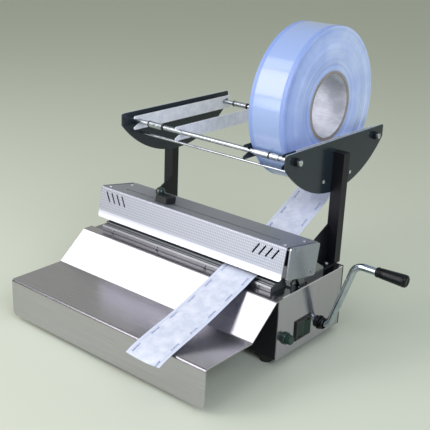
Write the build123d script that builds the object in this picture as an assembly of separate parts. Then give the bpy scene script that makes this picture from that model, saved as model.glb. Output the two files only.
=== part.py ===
# Medical heat sealer with a cutter, a crank lever and an overhead cradle for a pouch reel.
# Frame: origin on the table under the middle of the machine's front edge, +X to the
# operator's right, +Y to the back, +Z up. Millimetres.
# The sealing head is drawn open, the lever upright and a reel loaded with its web pulled
# through the jaw and out over the feeding tray.
import math
import os
from build123d import *

# Sides of the small round parts that repeat
screw_sides = 12
ring_sides = 20

# Clearances
seat_gap = 0.3        # between a loose or soft piece and what it lies on
run_gap = 0.06        # radial running fit of a shaft in its bush
guide_gap = 0.15      # radial gap of a piece that slides along a rod

# Base housing
base_width = 312.0
base_depth = 136.0
foot_height = 9.0
base_height = 79.0
panel_wall = 1.2
chassis_wall = 1.2
chassis_lip = 14.0
floor_vent_pitch = 30.0
floor_vent_length = 46.0
floor_vent_width = 5.0
top_wall = 1.5
rear_rim = 3.3        # depth of the rear cover's rim, seen at the end of each side panel
rear_wall = 1.2
foot_radius = 9.0
foot_bore = 2.6
foot_inset = 20.0     # foot centre from the side of the base
foot_setback = 10.0   # foot centre from the front or back of the base

# Feeding tray, one bent sheet hooked over the front of the base
tray_width = 318.0
tray_wall = 1.2
tray_level = 54.2     # height of the flat shelf
tray_reach = 130.0    # shelf's front edge, ahead of the base
tray_bend = 51.8      # foot of the slope, ahead of the base
tray_crest = 9.5      # top of the slope, ahead of the base
tray_hook = 4.0       # how far the top flange lies over the base
tray_lip_end = 5.8    # underside of the front lip above the table
tray_bend_radius = 3.0
tray_corner = 7.0

# Lower jaw rail
rail_half = base_width / 2 - 17.0
rail_front = 5.0
rail_back = 36.0
rail_rise = 11.0      # seat above the base top
rail_step = 8.0       # front step above the base top
rail_shoulder = 12.5
groove_depth = 1.0
pad_front = 15.0
pad_back = 28.0
pad_thick = 3.3
pad_sunk = 1.5

# Sealing head, worked out closed and then turned open about its hinge
hinge_y = 66.0
hinge_z = 102.0
head_open = 4.0       # degrees
head_wall = 1.2
cover_half = base_width / 2 - 6.0
head_top_front = (13.0, 141.6)
head_top_back = (77.4, 135.1)
cover_crease = (8.7, 110.2)
cover_lip = (6.7, 101.1)
cover_bend_radius = 2.0
cover_corner = 4.0
end_plate_inner = base_width / 2 - 4.0
end_plate_wall = 2.0
end_plate_low_front = (13.5, 102.5)
end_plate_low_back = (72.5, 95.5)
end_plate_corner = 3.0
end_flange = 17.0     # width of the flange that the cover is screwed to
end_flange_wall = 1.5
hinge_pin_radius = 3.0
frame_front = 17.0    # head frame channel over the heater
frame_back = 27.0
frame_wall = 1.5
frame_height = 15.0
heater_front = 16.5
heater_back = 26.5
heater_half = rail_half - 9.0
heater_height = 11.0
insulator_height = 5.0
insulator_length = 28.0
cartridge_radius = 3.2
cartridge_rise = 6.0
vent_count = 4
vent_length = 16.0
vent_width = 2.2
vent_pitch = 9.3
vent_slope = 9.0      # sideways run of a slanted vent
vent_first = cover_half - 9.0      # outermost vent's upper end from the middle

# Cutter
slot_y = 34.0
slot_half = heater_half - 4.0
slot_width = 3.0
cutter_rest = -54.0   # where the carriage is parked
carriage_length = 20.0
carriage_depth = 20.0
carriage_height = 9.0
carriage_forward = 2.0     # the block's middle ahead of the slot
cutter_stem = 2.6
knob_radius = 6.3
knob_sides = 14
knob_rise = 11.0      # ball centre above the cover
knob_side = 12.5      # ball centre left of the carriage's middle
knob_stud = 10.0
knob_stud_wide = 3.2
blade_thick = 0.6
blade_width = 9.0

# Pull links, which run between the hinge brackets and the end plates of the head
eccentric_thick = 2.0
link_inner = end_plate_inner - 2.4
link_width = 9.0
link_ring = 13.0
pull_y = 40.0
pull_z = 106.0
pull_radius = 2.0
pull_gap = 0.35            # slack of the opened pivot

# Hinge brackets on the base
bracket_wall = 2.0
bracket_ear_inner = link_inner - 3.0
bracket_foot = 7.0
bracket_front = hinge_y - 32.0
bracket_back = hinge_y + 34.0
bracket_screw_x = bracket_ear_inner - 3.4
bracket_screw_y = (hinge_y - 23.0, hinge_y + 20.0)

# Lever shaft and eccentrics
shaft_y = base_depth - 45.0
shaft_z = 26.0
shaft_radius = 6.0
bush_radius = 7.5
bush_flange_radius = 8.6
bush_flange = 1.2
eccentric_radius = 10.0
eccentric_throw = 1.6
eccentric_start = 220.0    # degrees from +Y towards +Z

# Crank lever, measured outwards from the side of the base
hub_radius = 7.4
hub_length = 6.8
shaft_end = 4.0            # shaft end past the side panel, inside the hub
rod_socket = 8.0           # how deep the lever rod sits in the shaft
lever_radius = 4.4
lever_foot_x = base_width / 2 + 12.0
lever_knee_x = lever_foot_x + 29.5
lever_level = 115.5
lever_foot_bend = 14.0
lever_knee_bend = 15.0
grip_start = lever_knee_x + 27.5
grip_end = grip_start + 39.0
grip_small = 5.9
grip_large = 8.2

# Reel cradle
post_inner = base_width / 2 - 25.9
post_width = 15.0
post_front = base_depth - 5.7
post_depth = 12.7
post_wall = 1.5
post_top = 230.0
gusset_top = 138.0
gusset_front = post_front - 28.3
gusset_front_top = 124.3
gusset_wall = 2.0
post_foot = 1.6
plate_wall = 2.0
plate_front = post_front - 99.3
plate_length = 215.0
plate_back = plate_front + plate_length
plate_top = 244.5
plate_corner = 228.5       # where the round lower edge starts
plate_low = 179.0
plate_screw_y = (plate_front + 81.8, plate_front + 140.9)
plate_screw_z = 196.1
rod_radius = 3.0
rod_front = plate_front + 19.9
rod_rear = plate_back - 21.2
rod_level = 233.5
rod_seat = 0.8           # wall left outside the end of the thin rod
sleeve_radius = 4.0
thin_rod_radius = 1.5
thin_rod_y = rod_front + 14.3
thin_rod_z = 214.0
boss_radius = 5.0
boss_length = 5.4
ring_radius = 4.25
ring_length = 1.8

# Guide straps that slide along the two rods
strap_wall = 1.0
strap_low = 223.0
strap_high = 241.0
strap_over = 9.0           # front end of a strap ahead of the rod's axis
strap_past = 15.0          # rear end of a strap behind the rod's axis
strap_inset = (12.1, 84.1)     # straps 1 and 2, in from the left post
strap_clear = (3.2, 2.3)       # straps 3 and 4, from the sides of the reel
fork_mouth = 11.4

# Pouch reel and web
reel_width = 50.0
reel_clear = 15.4          # from the reel's right side to the right post
reel_left = post_inner - reel_clear - reel_width
reel_radius = 95.0
core_bore = 38.0
core_radius = 41.0
web_thick = 0.4
web_steps = 18            # straight runs that each half of the web is drawn with
web_inset = 0.3
web_leave = -53.0          # where the web leaves the reel, degrees
web_overhang = 22.0        # how far the web's end hangs over the tray's lip
web_droop = 7.9
# Places of the web's rear run, back from the pad and up from it
web_run = ((18.0, 5.5), (52.0, 21.5), (89.0, 40.4), (128.0, 61.9))

# Sleeves and rings on the rods: a long sleeve between two rings on the left, then a long and
# a short sleeve under the reel with a ring between them
sleeve_inset = 33.1        # left sleeve, in from the left post
sleeve_under = 6.8         # long sleeve, in from the reel's left side
sleeve_long = 21.0
sleeve_short = 12.0
ring_space = 1.2           # from a ring's middle to the end of a sleeve

# Rear cover
inlet_inset = 61.0
inlet_x = inlet_inset - base_width / 2
inlet_z = 40.0
louvre_count = 14
louvre_pitch = 7.0
louvre_width = 3.0
louvre_x = 55.0
louvre_low = 37.0
louvre_high = 63.0

# Controls on the right-hand panel
switch_ahead = 39.5        # switch ahead of the lever shaft
switch_y = shaft_y - switch_ahead
switch_z = 34.0
bezel_length = 31.0
bezel_height = 25.5
bezel_proud = 2.5
rocker_length = 23.5
rocker_height = 18.5
fuse_ahead = 34.5          # fuse ahead of the switch
fuse_y = switch_y - fuse_ahead
fuse_z = 33.0
fuse_collar = 7.5
fuse_cap = 6.0
fuse_bore = 3.0
fuse_stem = 12.0

# Inside the base
core_length = 80.0         # transformer core
core_depth = 34.0
core_height = 62.0
inside_ahead = 61.0        # transformer and board start ahead of the lever shaft
core_front = shaft_y - inside_ahead
core_window = 20.0
core_yoke = 14.0
coil_gap = 0.5
board_x = 58.5             # control board's middle, from the side of the base
board_length = 55.0
board_front = shaft_y - inside_ahead
board_depth = 46.0
board_wall = 1.6
pillar_radius = 2.5
pillar_height = 6.0

# Worked out
base_top = foot_height + base_height
half = base_width / 2
panel_inner = half - panel_wall
panel_depth = base_depth - rear_rim
reel_y = (rod_front + rod_rear) / 2
reach = reel_radius + sleeve_radius + seat_gap
reel_z = rod_level + math.sqrt(reach ** 2 - (reel_y - rod_front) ** 2)
pad_top = base_top + rail_rise - pad_sunk + pad_thick
web_low = pad_top + seat_gap
heater_low = web_low + web_thick + seat_gap
link_outer = link_inner + eccentric_thick
head_fall = (head_top_front[1] - head_top_back[1]) / (head_top_back[0] - head_top_front[0])
head_slope = math.degrees(math.atan(head_fall))

os.makedirs("parts", exist_ok=True)


def block(x, y, z):
    """A box from (low, high) pairs."""
    size = [high - low for low, high in (x, y, z)]
    middle = [(high + low) / 2 for low, high in (x, y, z)]
    return Pos(*middle) * Box(*size)


def bar(x, y, z, radius):
    """A round bar along X, from x[0] to x[1]."""
    return Pos((x[0] + x[1]) / 2, y, z) * Rot(0, 90, 0) * Cylinder(radius, x[1] - x[0])


def across(profile, x_low, x_high):
    """A profile in (y, z), extruded along X."""
    return extrude(Plane.YZ.offset(x_low) * profile, x_high - x_low)


def outline(*points):
    return make_face(Polyline(*points, close=True))


def rounded(radius, *points):
    """A closed outline with every corner rounded."""
    face = outline(*points)
    return fillet(face.vertices(), radius)


def bent_sheet(points, radius, wall, x_low, x_high, side=Side.LEFT):
    """Sheet metal that follows (y, z) points with rounded bends."""
    line = FilletPolyline(*points, radius=radius)
    return across(make_face(offset(line, wall, side=side)), x_low, x_high)


def both(piece):
    """A piece and its mirror image on the other side of the machine."""
    return Compound([*piece.solids(), *mirror(piece, Plane.YZ).solids()])


def mirrored(piece):
    return mirror(piece, Plane.YZ)


def opened(piece):
    """Turns a piece of the head from its closed place to its open one."""
    return Pos(0, hinge_y, hinge_z) * Rot(-head_open, 0, 0) * Pos(0, -hinge_y, -hinge_z) * piece


def head_top(y):
    """Height of the closed head's top at y."""
    return head_top_front[1] - (y - head_top_front[0]) * head_fall


def screw(radius, height):
    """A pan-head screw, head up from z = 0. So small a head gets few sides."""
    rim, side = height * 0.55, RegularPolygon(radius, screw_sides)
    head = extrude(side, rim)
    head += loft([Pos(0, 0, rim) * side, Pos(0, 0, height) * scale(side, 0.6)])
    return head - Pos(0, 0, height) * Box(1.2 * radius, radius * 0.25, height * 0.5)


def socket_screw(radius, height):
    """A cap screw with a hexagon socket, head up from z = 0."""
    head = extrude(RegularPolygon(radius, 2 * screw_sides), height)
    return head - Pos(0, 0, height / 2) * extrude(RegularPolygon(radius / 2, 6), height)


def ring(span, y, z, radius, bore):
    """A short collar on a rod along X, with few sides."""
    face = RegularPolygon(radius, ring_sides) - RegularPolygon(bore, ring_sides, major_radius=False)
    return across(Pos(y, z) * face, *span)


def save(name, piece):
    solids = piece.solids()
    shape = solids[0] if len(solids) == 1 else Compound(solids)
    export_step(shape, f"parts/{name}.step")


# Chassis: floor, front wall and inner rear lip in one folded sheet
def chassis():
    z_low = foot_height
    path = [(chassis_wall, base_top - top_wall), (chassis_wall, z_low + chassis_wall),
            (panel_depth - chassis_wall, z_low + chassis_wall),
            (panel_depth - chassis_wall, z_low + chassis_lip)]
    fold = bent_sheet(path, 1.0, chassis_wall, -panel_inner, panel_inner, Side.RIGHT)
    for step in range(-3, 4):
        x = step * floor_vent_pitch
        fold -= Pos(x, base_depth / 2, z_low) * Box(floor_vent_width, floor_vent_length, 4 * chassis_wall)
    return fold


# Side panel: a stainless sheet with a hemmed front edge, pierced for what passes through it
def side_panel(right):
    sheet = block((panel_inner, half), (0, panel_depth), (foot_height, base_top))
    hem = block((panel_inner - 6, panel_inner), (chassis_wall, chassis_wall * 2),
                (foot_height + 4, base_top - 5))
    piece = sheet + hem
    piece -= bar((panel_inner - 1, half + 1), shaft_y, shaft_z, bush_radius)
    if right:
        piece -= block((panel_inner - 1, half + 1),
                       (switch_y - rocker_length / 2 - 1.5, switch_y + rocker_length / 2 + 1.5),
                       (switch_z - rocker_height / 2 - 1.2, switch_z + rocker_height / 2 + 1.2))
        piece -= bar((panel_inner - 8, half + 1), fuse_y, fuse_z, fuse_cap - 0.5)
        return piece
    return mirrored(piece)


# Rear cover: a shallow pan with louvres and the opening of the power inlet
def rear_cover():
    pan = block((-half, half), (panel_depth, base_depth), (foot_height, base_top))
    pan = fillet(pan.edges().filter_by(Axis.Z).group_by(Axis.Y)[-1], 1.5)
    hollow = block((-half + panel_wall, half - panel_wall), (panel_depth - 1, base_depth - rear_wall),
                   (foot_height + rear_wall, base_top - top_wall))
    pan -= hollow
    for i in range(louvre_count):
        x = louvre_x + (i - (louvre_count - 1) / 2) * louvre_pitch
        pan -= block((x - louvre_width / 2, x + louvre_width / 2), (base_depth - 5, base_depth + 1), (louvre_low, louvre_high))
    pan -= block((inlet_x - 14, inlet_x + 14), (panel_depth, base_depth + 1),
                 (inlet_z - 10, inlet_z + 10))
    return pan


# Top plate, with openings for the pull links
def top_plate():
    plate = block((-panel_inner, panel_inner), (0, panel_depth), (base_top - top_wall, base_top))
    ey, ez = eccentric_centre()
    py, pz = pull_point()
    middle = ey + (py - ey) * (base_top - ez) / (pz - ez)
    for side in (-1, 1):
        plate -= Pos(side * (link_inner + eccentric_thick / 2), middle, base_top) * \
            Box(eccentric_thick + 1.6, 2 * link_width, 4 * top_wall)
    return plate


def rubber_feet():
    foot = Pos(0, 0, foot_height / 2) * Cone(foot_radius - 1.5, foot_radius, foot_height)
    foot -= Cylinder(foot_bore, foot_bore)
    feet = []
    for x in (-half + foot_inset, half - foot_inset):
        for y in (foot_setback, base_depth - foot_setback):
            feet.append(Pos(x, y, 0) * foot)
    return Compound(feet)


def feeding_tray():
    path = [(tray_hook, base_top + tray_wall), (-tray_crest, base_top + tray_wall),
            (-tray_bend, tray_level), (-tray_reach, tray_level), (-tray_reach, tray_lip_end)]
    sheet = bent_sheet(path, tray_bend_radius, tray_wall, -tray_width / 2, tray_width / 2, Side.LEFT)
    corners = sheet.edges().filter_by(Axis.Y).group_by(Axis.Z)[0]
    return fillet(corners, tray_corner)


# Rail: an aluminium extrusion with a stepped, grooved front and a seat for the pad
def lower_rail():
    low, step, top = base_top, base_top + rail_step, base_top + rail_rise
    seat = top - pad_sunk
    y = rail_front
    face = outline((y, low), (y, step - 2), (y + 1.5, step), (y + 2.8, step),
                   (y + 3.3, step - groove_depth), (y + 4.1, step - groove_depth),
                   (y + 4.6, step + 0.6), (y + 5.6, step + 0.6), (y + 6.1, step - groove_depth),
                   (y + 6.9, step - groove_depth), (rail_shoulder, top), (pad_front, top),
                   (pad_front, seat), (pad_back, seat), (pad_back, top), (rail_back - 4, top),
                   (rail_back - 2, top - 2), (rail_back - 2, low + 4), (rail_back, low + 4),
                   (rail_back, low))
    return across(face, -rail_half, rail_half)


def sealing_pad():
    low = pad_top - pad_thick
    face = outline((pad_front, low), (pad_back, low), (pad_back, pad_top), (pad_front, pad_top))
    upper = face.vertices().group_by(Axis.Y)[-1]
    return across(fillet(upper, 0.8), -rail_half + 2, rail_half - 2)


def jaw_screws():
    """Screws of the rail and of the hinge brackets."""
    heads = []
    for step in (-3, -1, 1, 3):
        x = step * (rail_half - 19.0) / 3
        heads.append(Pos(x, rail_back - 1, base_top + 4) * screw(0.95, 0.8))
        heads.append(Pos(x, rail_front, base_top + 4) * Rot(90, 0, 0) * screw(2.2, 1.0))
    for x in (-bracket_screw_x, bracket_screw_x):
        for y in bracket_screw_y:
            heads.append(Pos(x, y, base_top + bracket_wall) * screw(3.0, 1.8))
    return Compound(heads)


def vent_face():
    end, side = vent_length / 2, vent_width / 2
    return outline((-end, 0), (side - end, -side), (end - side, -side), (end, 0), (end - side, side),
                   (side - end, side))


# Head cover: top, front and lip in one bent sheet, with vents and the cutter's slot
def head_cover():
    path = [head_top_back, head_top_front, cover_crease, cover_lip]
    sheet = bent_sheet(path, cover_bend_radius, head_wall, -cover_half, cover_half, Side.LEFT)
    down = math.hypot(head_top_front[0] - cover_crease[0], head_top_front[1] - cover_crease[1])
    lean = (head_top_front[0] - cover_crease[0]) / down
    mid_y = (head_top_front[0] + cover_crease[0]) / 2 + lean * 4
    mid_z = (head_top_front[1] + cover_crease[1]) / 2 + 4
    for side in (-1, 1):
        for i in range(vent_count):
            x = side * (vent_first - vent_slope / 2 - i * vent_pitch)
            angle = side * math.degrees(math.atan2(vent_slope, vent_length - 2))
            vent = Plane.XZ * (Rot(0, 0, 90 - angle) * vent_face())
            sheet -= Pos(x, mid_y + 6, mid_z) * extrude(vent, 12)
    free = [e for e in sheet.edges() if e.center().Z < cover_lip[1] + 1 and e.length < 2 * head_wall]
    sheet = fillet(free, cover_corner)
    sheet -= block((-slot_half, slot_half), (slot_y - slot_width / 2, slot_y + slot_width / 2),
                   (head_top_back[1] - 2, head_top_front[1] + 2))
    return opened(sheet)


def end_plate_face():
    top_front = (head_top_front[0] + 3.0, head_top_front[1] - 0.5)
    top_back = (head_top_back[0] - 0.6, head_top_back[1] + 0.3)
    return rounded(end_plate_corner, top_front, top_back, end_plate_low_back, end_plate_low_front)


def head_end():
    plate = across(end_plate_face(), end_plate_inner, end_plate_inner + end_plate_wall)
    over = head_wall / math.cos(math.radians(head_slope))
    y0, y1 = head_top_front[0] + 4, head_top_back[0] - 4
    z0, z1 = head_top(y0) - over, head_top(y1) - over
    plate += across(outline((y0, z0), (y1, z1), (y1, z1 - end_flange_wall), (y0, z0 - end_flange_wall)),
                    end_plate_inner - end_flange, end_plate_inner)
    plate -= bar((end_plate_inner - 1, end_plate_inner + 3), hinge_y, hinge_z, hinge_pin_radius + run_gap)
    plate += bar((link_inner - 0.2, end_plate_inner), pull_y, pull_z, pull_radius)
    return opened(plate)


# Head frame: an inverted channel between the end plates that carries the heater
def head_frame():
    low = heater_low + heater_height + insulator_height
    y0, y1 = frame_front, frame_back
    path = [(y0, low + frame_height), (y0, low), (y1, low), (y1, low + frame_height)]
    sheet = bent_sheet(path, 1.0, frame_wall, -end_plate_inner, end_plate_inner, Side.LEFT)
    return opened(sheet)


def heater_bar():
    low = heater_low
    high = low + heater_height
    y0, y1 = heater_front, heater_back
    mid = (y0 + y1) / 2
    face = outline((mid - 3.5, low), (mid + 3.5, low), (y1, low + 2.5), (y1, high), (y0, high),
                   (y0, low + 2.5))
    piece = across(face, -heater_half, heater_half)
    piece -= bar((-heater_half - 1, heater_half + 1), mid, low + cartridge_rise, cartridge_radius)
    return opened(piece)


def heater_cartridge():
    mid = (heater_front + heater_back) / 2
    rod = bar((-heater_half - 6, heater_half + 6), mid, heater_low + cartridge_rise,
              cartridge_radius - run_gap)
    return opened(rod)


def heater_insulators():
    low = heater_low + heater_height
    pieces = []
    for step in (-3, -1, 1, 3):
        x = step * (heater_half - 30.0) / 3
        pieces.append(block((x - insulator_length / 2, x + insulator_length / 2), (heater_front + 0.5, heater_back - 0.5),
                            (low, low + insulator_height)))
    return opened(Compound(pieces))


def thermostat():
    mid = (heater_front + heater_back) / 2
    low = heater_low + heater_height
    body = Pos(heater_half / 2, mid, low + insulator_height / 2 - 0.2) * \
        Cylinder(4.5, insulator_height - 0.4)
    return opened(body)


def head_screws():
    heads = []
    for x in (8.0 - cover_half, cover_half - 8.0):
        for y in (head_top_front[0] + 8, head_top_back[0] - 16.4):
            heads.append(Pos(x, y, head_top(y)) * Rot(-head_slope, 0, 0) * screw(2.4, 1.2))
    return opened(Compound(heads))


# Cutter: a block on the head with a stem through the slot, a keeper below and a blade
def cutter_parts():
    top = head_top(slot_y)
    place = Pos(cutter_rest, slot_y, top) * Rot(-head_slope, 0, 0)
    body = Pos(0, -carriage_forward, carriage_height / 2 + seat_gap) * \
        Box(carriage_length, carriage_depth, carriage_height)
    body = fillet(body.edges().filter_by(Axis.Z), 3.0)
    body = chamfer(body.edges().group_by(Axis.Z)[-1], 1.2)
    stem = Pos(0, 0, -4) * Box(12, cutter_stem, 9)
    keeper_z = -head_wall - seat_gap - 1.5
    keeper = Pos(0, 0, keeper_z) * Box(18, 9, 3)
    turned = RegularPolygon(knob_radius, knob_sides) + Pos(knob_stud / 2, 0) * Rectangle(knob_stud, knob_stud_wide)
    turned &= Pos(0, knob_stud) * Rectangle(4 * knob_stud, 2 * knob_stud)
    knob = Pos(-knob_side, 0, knob_rise) * Rot(0, 40, 0) * revolve(turned, Axis.X)
    carriage = place * (body + stem + keeper - knob)
    knob = place * knob
    low = web_low + web_thick + 3.4
    blade_face = make_face(Polyline((cutter_rest - blade_width / 2, low + 5), (cutter_rest, low),
                                    (cutter_rest + blade_width / 2, low + 5),
                                    (cutter_rest + blade_width / 2, top - 8),
                                    (cutter_rest - blade_width / 2, top - 8), close=True))
    blade = extrude(Plane.XZ.offset(-slot_y - blade_thick / 2) * blade_face, blade_thick)
    carriage -= blade
    return opened(carriage), opened(knob), opened(blade)


# Hinge bracket: a foot on the base and an ear with the hinge pin
def hinge_bracket():
    outer = bracket_ear_inner + bracket_wall
    ear_face = rounded(2.0, (bracket_front, base_top), (bracket_back, base_top),
                       (bracket_back, base_top + 7), (hinge_y + 12, hinge_z + 8),
                       (hinge_y - 12, hinge_z + 8), (bracket_front, base_top + 7))
    ear = across(ear_face, bracket_ear_inner, outer)
    foot = block((bracket_ear_inner - bracket_foot, outer), (bracket_front, bracket_back),
                 (base_top, base_top + bracket_wall))
    piece = ear + foot
    piece -= bar((bracket_ear_inner - 1, outer + 1), hinge_y, hinge_z, hinge_pin_radius)
    return piece


def hinge_pin():
    pin = bar((bracket_ear_inner - 2, end_plate_inner + end_plate_wall + 0.6), hinge_y, hinge_z,
              hinge_pin_radius)
    head = bar((bracket_ear_inner - 4, bracket_ear_inner - 2), hinge_y, hinge_z, hinge_pin_radius + 1.6)
    return pin + head


# Lever shaft with the two eccentrics that pull the head down
def eccentric_centre():
    angle = math.radians(eccentric_start)
    return (shaft_y + eccentric_throw * math.cos(angle), shaft_z + eccentric_throw * math.sin(angle))


def pull_point():
    """The pull pin of the open head."""
    y, z = pull_y - hinge_y, pull_z - hinge_z
    turn = math.radians(-head_open)
    return (hinge_y + y * math.cos(turn) - z * math.sin(turn),
            hinge_z + y * math.sin(turn) + z * math.cos(turn))


def lever_shaft():
    shaft = bar((-half - bush_flange, half + shaft_end), shaft_y, shaft_z, shaft_radius - run_gap)
    return shaft - lever_rod()


def eccentric():
    y, z = eccentric_centre()
    disc = bar((link_inner, link_outer), y, z, eccentric_radius)
    collar = bar((link_inner - 6, link_inner), shaft_y, shaft_z, shaft_radius + 3)
    disc += collar
    return disc - bar((link_inner - 7, link_outer + 1), shaft_y, shaft_z, shaft_radius - run_gap)


def shaft_bush():
    flange_x = panel_inner
    tube = bar((flange_x - 2.0, half + 0.01), shaft_y, shaft_z, bush_radius)
    flange = bar((half, half + bush_flange), shaft_y, shaft_z, bush_flange_radius)
    return tube + flange - bar((flange_x - 3, half + 3), shaft_y, shaft_z, shaft_radius)


def pull_link():
    ey, ez = eccentric_centre()
    py, pz = pull_point()
    length = math.hypot(py - ey, pz - ez)
    angle = math.degrees(math.atan2(pz - ez, py - ey))
    strip = Pos(length / 2, 0) * SlotCenterToCenter(length, link_width)
    face = Pos(ey, ez) * Rot(0, 0, angle) * (strip + Circle(link_ring))
    face -= Pos(ey, ez) * Circle(eccentric_radius + run_gap)
    face -= Pos(py, pz) * Circle(pull_radius + pull_gap)
    return across(face, link_inner, link_outer)


def lever_hub():
    hub = bar((half + bush_flange + seat_gap, half + hub_length), shaft_y, shaft_z, hub_radius)
    hub = chamfer(hub.edges().group_by(Axis.X)[-1], 1.2)
    return hub - bar((half, half + hub_length + 1), shaft_y, shaft_z, shaft_radius - run_gap)


def lever_rod():
    start = half - rod_socket
    path = FilletPolyline((start, shaft_y, shaft_z), (lever_foot_x, shaft_y, shaft_z),
                          (lever_knee_x, shaft_y, lever_level), (grip_end - 8, shaft_y, lever_level),
                          radius=[lever_foot_bend, lever_knee_bend])
    return sweep(Plane((start, shaft_y, shaft_z), z_dir=(1, 0, 0)) * Circle(lever_radius), path)


def lever_grip():
    length = grip_end - grip_start
    profile = outline((0, 0), (grip_small, 0), (grip_large, length - 3.0), (grip_large - 2.0, length),
                      (0, length))
    grip = revolve(Plane.XZ * profile, Axis.Z)
    grip -= Pos(0, 0, (length - 8) / 2) * Cylinder(lever_radius, length - 8)
    return Pos(grip_start, shaft_y, lever_level) * Rot(0, 90, 0) * grip


# Post: a rectangular tube with a gusseted foot plate
def post():
    x0, x1 = post_inner, post_inner + post_width
    y0, y1 = post_front, post_front + post_depth
    tube = block((x0, x1), (y0, y1), (base_top, post_top))
    tube -= block((x0 + post_wall, x1 - post_wall), (y0 + post_wall, y1 - post_wall),
                  (base_top - 1, post_top - post_wall))
    gusset = across(outline((y0, base_top), (y0, gusset_top), (gusset_front, gusset_front_top),
                            (gusset_front, base_top)), x0, x0 + gusset_wall)
    foot = block((x0, x1), (gusset_front, y0), (base_top, base_top + post_foot))
    return tube + gusset + foot


def holder_plate_face():
    mid = (plate_front + plate_back) / 2
    return make_face([
        Polyline((plate_front, plate_corner), (plate_front, plate_top), (plate_back, plate_top),
                 (plate_back, plate_corner)),
        ThreePointArc((plate_back, plate_corner), (mid, plate_low), (plate_front, plate_corner)),
    ])


def holder_plate():
    plate = across(holder_plate_face(), post_inner - plate_wall, post_inner)
    plate = fillet(plate.edges().filter_by(Axis.X).group_by(Axis.Z)[-1], 3.0)
    for y in (rod_front, rod_rear):
        plate -= bar((post_inner - 3, post_inner + 1), y, rod_level, rod_radius)
    return plate - bar((post_inner - 3, post_inner - rod_seat), thin_rod_y, thin_rod_z, thin_rod_radius)


def rod(y, z, radius, short=0.0):
    return bar((short - post_inner, post_inner - short), y, z, radius)


def rod_bosses():
    pieces = []
    for y in (rod_front, rod_rear):
        boss = bar((post_inner, post_inner + boss_length), y, rod_level, boss_radius)
        pieces.append(chamfer(boss.edges().group_by(Axis.X)[-1], 0.6))
    return both(Compound(pieces))


def rod_sleeves():
    pieces = []
    left, under = sleeve_inset - post_inner, reel_left + sleeve_under
    short = under + sleeve_long + 2 * ring_space
    for y in (rod_front, rod_rear):
        for x, length in ((left, sleeve_long), (under, sleeve_long), (short, sleeve_short)):
            pieces.append(ring((x, x + length), y, rod_level, sleeve_radius, rod_radius))
    return Compound(pieces)


def stop_rings():
    pieces = []
    left = sleeve_inset - post_inner
    under = reel_left + sleeve_under
    for y in (rod_front, rod_rear):
        for x in (left - ring_space, left + sleeve_long + ring_space, under + sleeve_long + ring_space):
            span = (x - ring_length / 2, x + ring_length / 2)
            pieces.append(ring(span, y, rod_level, ring_radius, rod_radius))
    return Compound(pieces)


# Guide strap: a thin strip whose forked ends hook on the front and rear rods
def guide_strap(x):
    front, back = rod_front - strap_over, rod_rear + strap_past
    face = outline((front, strap_low), (back, strap_low), (back, strap_high), (front, strap_high))
    face = fillet(face.vertices(), 2.0)
    hold = rod_radius + guide_gap
    for y, past in ((rod_front, -strap_over - 0.5), (rod_rear, strap_past + 0.5)):
        tip = y + past
        middle = (strap_low + strap_high) / 2
        mouth = outline((y, rod_level - hold), (tip, middle - fork_mouth / 2),
                        (tip, middle + fork_mouth / 2), (y, rod_level + hold))
        face -= mouth
        face -= Pos(y, rod_level) * Circle(hold)
    return across(face, x - strap_wall / 2, x + strap_wall / 2)


def reel_core():
    span = (reel_left, reel_left + reel_width)
    core = bar(span, reel_y, reel_z, core_radius) - bar(span, reel_y, reel_z, core_bore)
    return core


def reel_roll():
    span = (reel_left, reel_left + reel_width)
    roll = bar(span, reel_y, reel_z, reel_radius)
    return roll - bar(span, reel_y, reel_z, core_radius)


# Web: from the reel, down behind the head, over the pad and out across the tray
def web_edges(line, steps):
    """Points along the curve and along its copy one web thickness higher."""
    low = [line @ (i / steps) for i in range(steps + 1)]
    high = []
    for i, point in enumerate(low):
        way = line % (i / steps)
        high.append((point.X - way.Y * web_thick, point.Y + way.X * web_thick))
    return [(point.X, point.Y) for point in low], high


def pouch_web():
    angle = math.radians(web_leave)
    leave_radius = reel_radius + seat_gap + web_thick
    leave = (reel_y + leave_radius * math.cos(angle), reel_z + leave_radius * math.sin(angle))
    front = Spline((-tray_reach - web_overhang, tray_level - web_droop),
                   (-tray_reach - 0.5, tray_level + 1.0), (-tray_bend - 20.2, tray_level + 17.8),
                   (-tray_crest - 1.5, base_top + 5.0), (pad_front, web_low),
                   tangents=[(1, 0.6), (1, 0)])
    rear = Spline((pad_back, web_low), *[(pad_back + back, web_low + up) for back, up in web_run],
                  leave, tangents=[(1, 0), (math.sin(-angle), math.cos(angle))])
    front_low, front_high = web_edges(front, web_steps)
    rear_low, rear_high = web_edges(rear, web_steps)
    face = outline(*front_low, *rear_low, *reversed(rear_high), *reversed(front_high))
    return across(face, reel_left + web_inset, reel_left + reel_width - web_inset)


def switch_bezel():
    proud = half + bezel_proud
    rim = block((half, proud), (switch_y - bezel_length / 2, switch_y + bezel_length / 2),
                (switch_z - bezel_height / 2, switch_z + bezel_height / 2))
    rim = fillet(rim.edges().group_by(Axis.X)[-1], 1.2)
    case = block((half - 22, half), (switch_y - rocker_length / 2 - 1.2, switch_y + rocker_length / 2 + 1.2),
                 (switch_z - rocker_height / 2 - 1.0, switch_z + rocker_height / 2 + 1.0))
    well = block((half - 6, proud + 1), (switch_y - rocker_length / 2 - 0.2, switch_y + rocker_length / 2 + 0.2),
                 (switch_z - rocker_height / 2 - 0.2, switch_z + rocker_height / 2 + 0.2))
    return rim + case - well


# Rocker: two faces that meet in a ridge, tipped towards the back; it turns on a vertical axis
rocker_pivot = half - 1.0


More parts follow.
